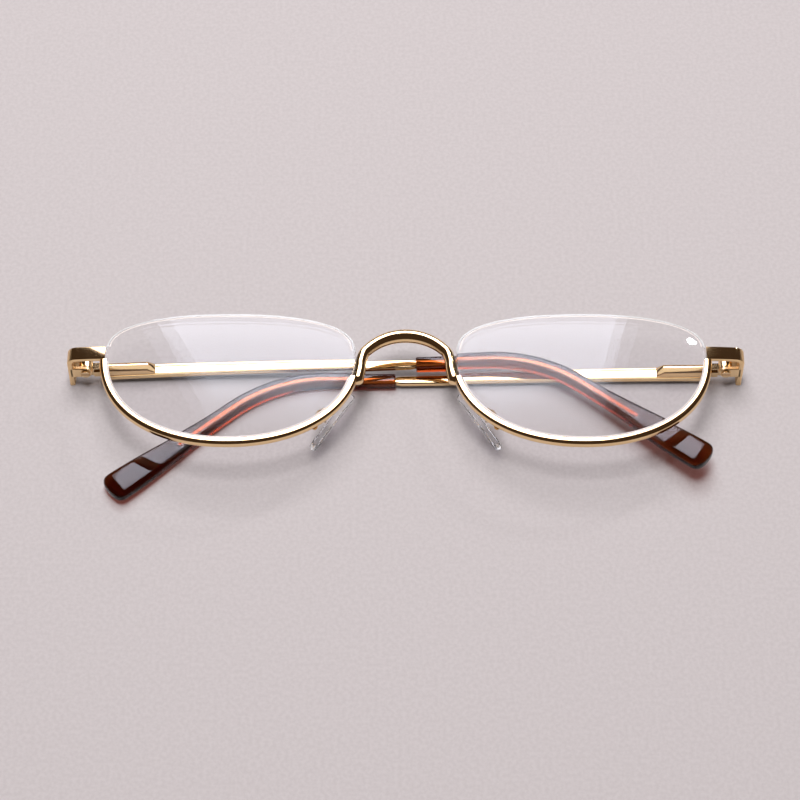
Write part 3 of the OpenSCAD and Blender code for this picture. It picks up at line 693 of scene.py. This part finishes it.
def make_pad_arm(name, side):
    """A wire on the curve that five points pull towards them, thicker at its weld, and a strip bent
    into the box that holds the pad's lug."""
    angle = np.array(angle_at(ARM_ROOT_Y, LENS_DROP, LOWER_POWER) - 180)
    root = lens_edge(angle, ARM_ROOT_OUT)
    root_z = layer_z(lens_edge(angle), GROOVE_SET) - RIM_T / 2 - 0.03
    box_top = LUG_Z + 0.5
    end = PAD_AT + (box_top + 0.95) * PAD_FACE
    pulls = np.array([[0, 0, 0], [0, 0, -1.4], [0.3, 2.6, -2.5], [0.1, 4.6, -2.9]])
    pulls = np.concatenate([pulls + [root[0], root[1], root_z], [end]])
    t = np.linspace(0, 1, 64)
    path = pulled(pulls, t)
    ahead = unit(np.gradient(path, axis=0))
    across = unit(np.cross(ahead, [1.0, 0.0, 0.0]))
    up = np.cross(across, ahead)
    weld = 1 + WELD_SWELL * (1 - ease(t / 0.16))
    wire = swept(path, across, up, round_section(ARM_D, 16)[None] * weld[:, None, None])
    half = LUG_W / 2 + RUN_GAP + CHEEK_T / 2
    low, high, corner = PAD_T / 2 + CHEEK_LIFT, box_top + 0.75, 0.45
    a = np.radians(np.linspace(180, 90, 8))
    turn = np.stack([-half + corner + corner * np.cos(a), high - corner + corner * np.sin(a)], -1)
    yz = np.concatenate([[[-half, low], [-half, low + 0.1]], turn])
    yz = np.concatenate([yz, yz[::-1] * [-1, 1]])
    ahead = unit(np.gradient(yz, axis=0))
    strip_path = np.column_stack([np.zeros(len(yz)), yz])
    strip_up = np.column_stack([np.zeros(len(yz)), ahead[:, 1], -ahead[:, 0]])
    strip_across = np.broadcast_to([1.0, 0.0, 0.0], strip_path.shape)
    strip = swept(strip_path, strip_across, strip_up, rounded_section(LUG_R, CHEEK_T / 2, 0.1, 4))
    skins = [closed_skin(on_side(wire, side)), closed_skin(at_pad(strip, side))]
    piece(f"{name}_pad_arm_wire", skins, polished_gold, "front", f"{name}_pad_arm")


# The finishes


def new_group(name, inputs, outputs):
    """An empty shader node group with named sockets."""
    group = bpy.data.node_groups.new(name, "ShaderNodeTree")
    for label, kind in inputs:
        group.interface.new_socket(label, in_out="INPUT", socket_type=kind)
    for label, kind in outputs:
        group.interface.new_socket(label, in_out="OUTPUT", socket_type=kind)
    return group, group.nodes.new("NodeGroupInput"), group.nodes.new("NodeGroupOutput")


def handled_surface():
    """What handling leaves on a hard surface: a slow drift between two colours, fine scuffs that
    raise the roughness, and a very low relief."""
    group, given, made = new_group(
        "handled_surface",
        [("Vector", "NodeSocketVector"), ("Color", "NodeSocketColor"),
         ("Worn Color", "NodeSocketColor"), ("Roughness", "NodeSocketFloat"),
         ("Scuffs", "NodeSocketFloat"), ("Relief", "NodeSocketFloat"),
         ("Drift Scale", "NodeSocketFloat"), ("Grain Scale", "NodeSocketFloat")],
        [("Color", "NodeSocketColor"), ("Roughness", "NodeSocketFloat"),
         ("Normal", "NodeSocketVector")],
    )
    nodes, link = group.nodes, group.links.new
    drift = nodes.new("ShaderNodeTexNoise")
    grain = nodes.new("ShaderNodeTexNoise")
    drift.inputs["Detail"].default_value = 3
    grain.inputs["Detail"].default_value = 6
    for texture, scale in ((drift, "Drift Scale"), (grain, "Grain Scale")):
        link(given.outputs["Vector"], texture.inputs["Vector"])
        link(given.outputs[scale], texture.inputs["Scale"])
    spread = nodes.new("ShaderNodeMapRange")
    spread.inputs["From Min"].default_value = 0.35
    spread.inputs["From Max"].default_value = 0.65
    link(drift.outputs["Fac"], spread.inputs["Value"])
    mix = nodes.new("ShaderNodeMix")
    mix.data_type = "RGBA"
    link(spread.outputs["Result"], mix.inputs[0])
    link(given.outputs["Color"], mix.inputs[6])
    link(given.outputs["Worn Color"], mix.inputs[7])
    link(mix.outputs[2], made.inputs["Color"])
    scuff = nodes.new("ShaderNodeMath")
    scuff.operation = "MULTIPLY_ADD"
    link(grain.outputs["Fac"], scuff.inputs[0])
    link(given.outputs["Scuffs"], scuff.inputs[1])
    link(given.outputs["Roughness"], scuff.inputs[2])
    link(scuff.outputs[0], made.inputs["Roughness"])
    bump = nodes.new("ShaderNodeBump")
    bump.inputs["Distance"].default_value = 0.00002
    link(grain.outputs["Fac"], bump.inputs["Height"])
    link(given.outputs["Relief"], bump.inputs["Strength"])
    link(bump.outputs["Normal"], made.inputs["Normal"])
    return group


HANDLED = handled_surface()


def finish(name, color, worn, roughness, scuffs, relief, drift_scale=120.0, grain_scale=2500.0,
           stretch=(1, 1, 1)):
    """A material whose colour, roughness and relief come from the handled surface."""
    material = bpy.data.materials.new(name)
    material.use_nodes = True
    nodes, link = material.node_tree.nodes, material.node_tree.links.new
    nodes.clear()
    shader = nodes.new("ShaderNodeBsdfPrincipled")
    output = nodes.new("ShaderNodeOutputMaterial")
    where = nodes.new("ShaderNodeTexCoord")
    placed = nodes.new("ShaderNodeMapping")
    placed.inputs["Scale"].default_value = stretch
    surface = nodes.new("ShaderNodeGroup")
    surface.node_tree = HANDLED
    surface.inputs["Color"].default_value = (*color, 1)
    surface.inputs["Worn Color"].default_value = (*worn, 1)
    surface.inputs["Roughness"].default_value = roughness
    surface.inputs["Scuffs"].default_value = scuffs
    surface.inputs["Relief"].default_value = relief
    surface.inputs["Drift Scale"].default_value = drift_scale
    surface.inputs["Grain Scale"].default_value = grain_scale
    link(where.outputs["Object"], placed.inputs["Vector"])
    link(placed.outputs["Vector"], surface.inputs["Vector"])
    link(surface.outputs["Color"], shader.inputs["Base Color"])
    link(surface.outputs["Roughness"], shader.inputs["Roughness"])
    link(surface.outputs["Normal"], shader.inputs["Normal"])
    link(shader.outputs["BSDF"], output.inputs["Surface"])
    return material, shader, surface, output


def metal(name, *values, **grain):
    """A plated metal, with the values that finish takes."""
    material, shader, surface, _ = finish(name, *values, **grain)
    shader.inputs["Metallic"].default_value = 1.0
    return material, shader, surface


def rougher_where(material, shader, surface, mark, roughness):
    """Mixes the roughness towards a second value by a mark on the piece."""
    nodes, link = material.node_tree.nodes, material.node_tree.links.new
    read = nodes.new("ShaderNodeAttribute")
    read.attribute_name = mark
    mix = nodes.new("ShaderNodeMix")
    mix.inputs[3].default_value = roughness
    link(read.outputs["Fac"], mix.inputs[0])
    link(surface.outputs["Roughness"], mix.inputs[2])
    link(mix.outputs[0], shader.inputs["Roughness"])


def see_through(name, color, worn, roughness, scuffs, relief, ior, shade):
    """A clear material. Light that reaches the table through it is tinted by shade at each wall."""
    material, shader, surface, output = finish(name, color, worn, roughness, scuffs, relief)
    nodes, link = material.node_tree.nodes, material.node_tree.links.new
    shader.inputs["Transmission Weight"].default_value = 1.0
    shader.inputs["IOR"].default_value = ior
    path = nodes.new("ShaderNodeLightPath")
    clear = nodes.new("ShaderNodeBsdfTransparent")
    clear.inputs["Color"].default_value = (*shade, 1)
    mix = nodes.new("ShaderNodeMixShader")
    link(path.outputs["Is Shadow Ray"], mix.inputs[0])
    link(shader.outputs["BSDF"], mix.inputs[1])
    link(clear.outputs["BSDF"], mix.inputs[2])
    link(mix.outputs["Shader"], output.inputs["Surface"])
    return material, shader, surface, output


GOLD = (0.93, 0.68, 0.38)
DEEP_GOLD = (0.84, 0.56, 0.28)
polished_gold, _, _ = metal("polished_gold", GOLD, (0.9, 0.64, 0.34), 0.05, 0.07, 0.1)
end_gold, end_shader, end_surface = metal(
    "end_piece_gold", GOLD, (0.89, 0.63, 0.33), 0.05, 0.06, 0.12
)
rougher_where(end_gold, end_shader, end_surface, "satin", 0.42)
satin_gold, _, _ = metal("satin_gold", GOLD, DEEP_GOLD, 0.09, 0.1, 0.2, stretch=(0.15, 1, 1))
screw_gold, _, _ = metal("screw_gold", (0.84, 0.63, 0.38), DEEP_GOLD, 0.14, 0.16, 0.25)
spring_steel, _, _ = metal("spring_steel", (0.62, 0.6, 0.57), (0.5, 0.48, 0.45), 0.2, 0.15, 0.15)

clear_lens, lens_shader, lens_surface, _ = see_through(
    "clear_lens", (0.98, 0.985, 0.99), (0.985, 0.985, 0.99), 0.0, 0.015, 0.0, 1.5,
    (0.94, 0.935, 0.94)
)
rougher_where(clear_lens, lens_shader, lens_surface, "ground_edge", 0.4)
# The lenses are coated, so they mirror about a third of what bare plastic does
lens_shader.inputs["Specular Tint"].default_value = (0.22, 0.25, 0.26, 1)
# Frosted glass of the lens's ground lips, and also the colour of the painted reflections of the
# ground edge on the lens's front
ground_lip_and_painted_reflection_glass, ground_shader, _, _ = see_through(
    "ground_lip_and_painted_reflection_glass", (0.95, 0.87, 0.85), (0.9, 0.82, 0.8), 0.42, 0.12, 0.3, 1.5, (0.93, 0.93, 0.93)
)
ground_shader.inputs["Transmission Weight"].default_value = 0.22
nylon, nylon_shader, _, _ = see_through(
    "nylon", (1.0, 1.0, 1.0), (0.96, 0.96, 0.97), 0.3, 0.1, 0.1, 1.53, (0.85, 0.85, 0.86)
)
nylon_shader.inputs["Transmission Weight"].default_value = 0.08
clear_silicone, silicone_shader, _, _ = see_through(
    "clear_silicone", (1.0, 1.0, 1.0), (0.98, 0.98, 1.0), 0.06, 0.08, 0.1, 1.42, (0.84, 0.84, 0.86)
)
silicone_shader.inputs["Transmission Weight"].default_value = 0.96
amber_plastic, _, _, amber_output = see_through(
    "amber_plastic", (0.42, 0.37, 0.24), (0.38, 0.33, 0.2), 0.02, 0.04, 0.06, 1.4, (0.62, 0.3, 0.22)
)
depth = amber_plastic.node_tree.nodes.new("ShaderNodeVolumeAbsorption")
depth.inputs["Color"].default_value = (0.76, 0.43, 0.2, 1)
depth.inputs["Density"].default_value = 1750.0
amber_plastic.node_tree.links.new(depth.outputs["Volume"], amber_output.inputs["Volume"])

# The pieces
make_bridge()
for name, side in SIDES.items():
    make_rim(name, side)
    make_end_piece(name, side)
    make_lens(name, side)
    make_ground_lips_and_painted_reflections(name, side)
    make_nylon(name, side)
    make_pad_arm(name, side)
    make_nose_pad(name, side)
    make_temple(name, side)
    make_tip(name, side)
    make_spring_box(name, side)

# The solids of these pieces show as they are, in their own finishes
solid_finishes = {"pad_screw": screw_gold, "hinge_screw": screw_gold,
                  "spring_eye": polished_gold, "hinge_spring": spring_steel}
for name in SIDES:
    for part, material in solid_finishes.items():
        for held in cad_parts[f"{name}_{part}"].material_slots:
            held.material = material

# The table, the lights and the camera


def flat_sheet(name, corners, material):
    """One flat face on four corners, in metres."""
    mesh = bpy.data.meshes.new(name)
    mesh.from_pydata(corners, [], [(0, 1, 2, 3)])
    mesh.materials.append(material)
    made = bpy.data.objects.new(name, mesh)
    bpy.context.scene.collection.objects.link(made)
    return made


TABLE_HALF = 2.5
# The table lies a hair below the glasses, so that no two faces share a plane
TABLE_Z = -0.00003
paper, paper_shader, _, _ = finish(
    "table_paper", (0.591, 0.539, 0.55), (0.639, 0.586, 0.598), 0.75, 0.2, 1.0,
    drift_scale=1300.0, grain_scale=2200.0
)
paper_shader.inputs["Specular IOR Level"].default_value = 0.0
flat_sheet("table", [
    (-TABLE_HALF, -TABLE_HALF, TABLE_Z), (TABLE_HALF, -TABLE_HALF, TABLE_Z),
    (TABLE_HALF, TABLE_HALF, TABLE_Z), (-TABLE_HALF, TABLE_HALF, TABLE_Z),
], paper)


def glowing(name, color, strength, fade_from, fade_to):
    """An emitter that fades out, in a smooth step, between two heights above the table."""
    material = bpy.data.materials.new(name)
    material.use_nodes = True
    nodes = material.node_tree.nodes
    nodes.clear()
    glow = nodes.new("ShaderNodeEmission")
    glow.inputs["Color"].default_value = (*color, 1)
    where = nodes.new("ShaderNodeTexCoord")
    split = nodes.new("ShaderNodeSeparateXYZ")
    fade = nodes.new("ShaderNodeMapRange")
    fade.interpolation_type = "SMOOTHSTEP"
    fade.inputs["From Min"].default_value = fade_from
    fade.inputs["From Max"].default_value = fade_to
    fade.inputs["To Min"].default_value = strength
    fade.inputs["To Max"].default_value = 0.0
    output = nodes.new("ShaderNodeOutputMaterial")
    link = material.node_tree.links.new
    link(where.outputs["Object"], split.inputs["Vector"])
    link(split.outputs["Z"], fade.inputs["Value"])
    link(fade.outputs["Result"], glow.inputs["Strength"])
    link(glow.outputs["Emission"], output.inputs["Surface"])
    return material


# The bright panel close behind the glasses and its dimmer edges, which only the metal, the lenses
# and the plastic mirror. Its shape and its fading top give the sheen in the lenses its soft edges.
PANEL_Y = 0.15
PANEL_LOW, PANEL_TOP = 0.085, 0.361
FADE_FROM, FADE_TO = 0.25, 0.36
COOL_WHITE = (0.9, 0.89, 1.0)
panel_glow = glowing("panel_glow", COOL_WHITE, 8.5, FADE_FROM, FADE_TO)
edge_glow = glowing("edge_glow", COOL_WHITE, 3.6, FADE_FROM, FADE_TO)
for name, low_left, low_right, top_left, top_right, glow in (
    ("panel", -0.094, 0.073, -0.068, 0.073, panel_glow),
    ("panel_left_edge", -0.104, -0.094, -0.078, -0.068, edge_glow),
    ("panel_right_edge", 0.073, 0.081, 0.073, 0.081, edge_glow),
):
    panel = flat_sheet(name, [
        (low_left, PANEL_Y, PANEL_LOW), (low_right, PANEL_Y, PANEL_LOW),
        (top_right, PANEL_Y, PANEL_TOP), (top_left, PANEL_Y, PANEL_TOP),
    ], glow)
    panel.visible_camera = False
    panel.visible_diffuse = False
    panel.visible_shadow = False


def soft_light(name, place, size, energy):
    """A square white light that faces the glasses and shows in no reflection."""
    light = bpy.data.lights.new(name, "AREA")
    light.size = size
    light.energy = energy
    made = bpy.data.objects.new(name, light)
    made.location = place
    made.rotation_euler = Vector(place).to_track_quat("Z", "Y").to_euler()
    made.visible_glossy = False
    made.visible_transmission = False
    bpy.context.scene.collection.objects.link(made)
    return made


soft_light("skylight", (-0.05, 0.42, 0.8), 0.5, 4.3)
soft_light("overhead", (-0.07, -0.02, 1.2), 0.45, 8.4)
# The small round lamp that makes the bright spot in one lens
lamp = soft_light("lamp", (0.435, 0.653, 0.519), 0.034, 0.4)
lamp.data.shape = "DISK"
lamp.visible_glossy = True

# The room, from the horizon's level up to the height where it is darkest
ROOM_LOW = (0.3, 0.26, 0.24, 1)
ROOM_HIGH = (0.048, 0.032, 0.023, 1)
ROOM_THROUGH_CLEAR = (1.0, 0.98, 1.0, 1)
DARKEST_AT = 0.16
world = bpy.data.worlds.new("room")
bpy.context.scene.world = world
world.use_nodes = True
nodes, link = world.node_tree.nodes, world.node_tree.links.new
nodes.clear()
where = nodes.new("ShaderNodeTexCoord")
split = nodes.new("ShaderNodeSeparateXYZ")
rise = nodes.new("ShaderNodeValToRGB")
for stop, at, color in zip(rise.color_ramp.elements, (0.0, DARKEST_AT), (ROOM_LOW, ROOM_HIGH)):
    stop.position = at
    stop.color = color
background = nodes.new("ShaderNodeBackground")
output = nodes.new("ShaderNodeOutputWorld")
link(where.outputs["Generated"], split.inputs["Vector"])
link(split.outputs["Z"], rise.inputs["Fac"])
# Clear pieces show the pale room on through them, where metal mirrors its darker upper part
path = nodes.new("ShaderNodeLightPath")
seen = nodes.new("ShaderNodeMix")
seen.data_type = "RGBA"
link(path.outputs["Is Transmission Ray"], seen.inputs[0])
link(rise.outputs["Color"], seen.inputs[6])
seen.inputs[7].default_value = ROOM_THROUGH_CLEAR
link(seen.outputs[2], background.inputs["Color"])
link(background.outputs["Background"], output.inputs["Surface"])

CAMERA_RISE = math.radians(56.05)
CAMERA_DISTANCE = 0.6
CAMERA_LENS = 132.7
CAMERA_TARGET = Vector((-0.00117, 0.00321, 0.004))
away = Vector((0, -math.cos(CAMERA_RISE), math.sin(CAMERA_RISE)))
camera = bpy.data.objects.new("camera", bpy.data.cameras.new("camera"))
camera.data.lens = CAMERA_LENS
camera.data.clip_start = 0.01
camera.location = CAMERA_TARGET + CAMERA_DISTANCE * away
camera.rotation_euler = away.to_track_quat("Z", "Y").to_euler()
bpy.context.scene.collection.objects.link(camera)
bpy.context.scene.camera = camera
bpy.context.scene.view_settings.view_transform = "Standard"
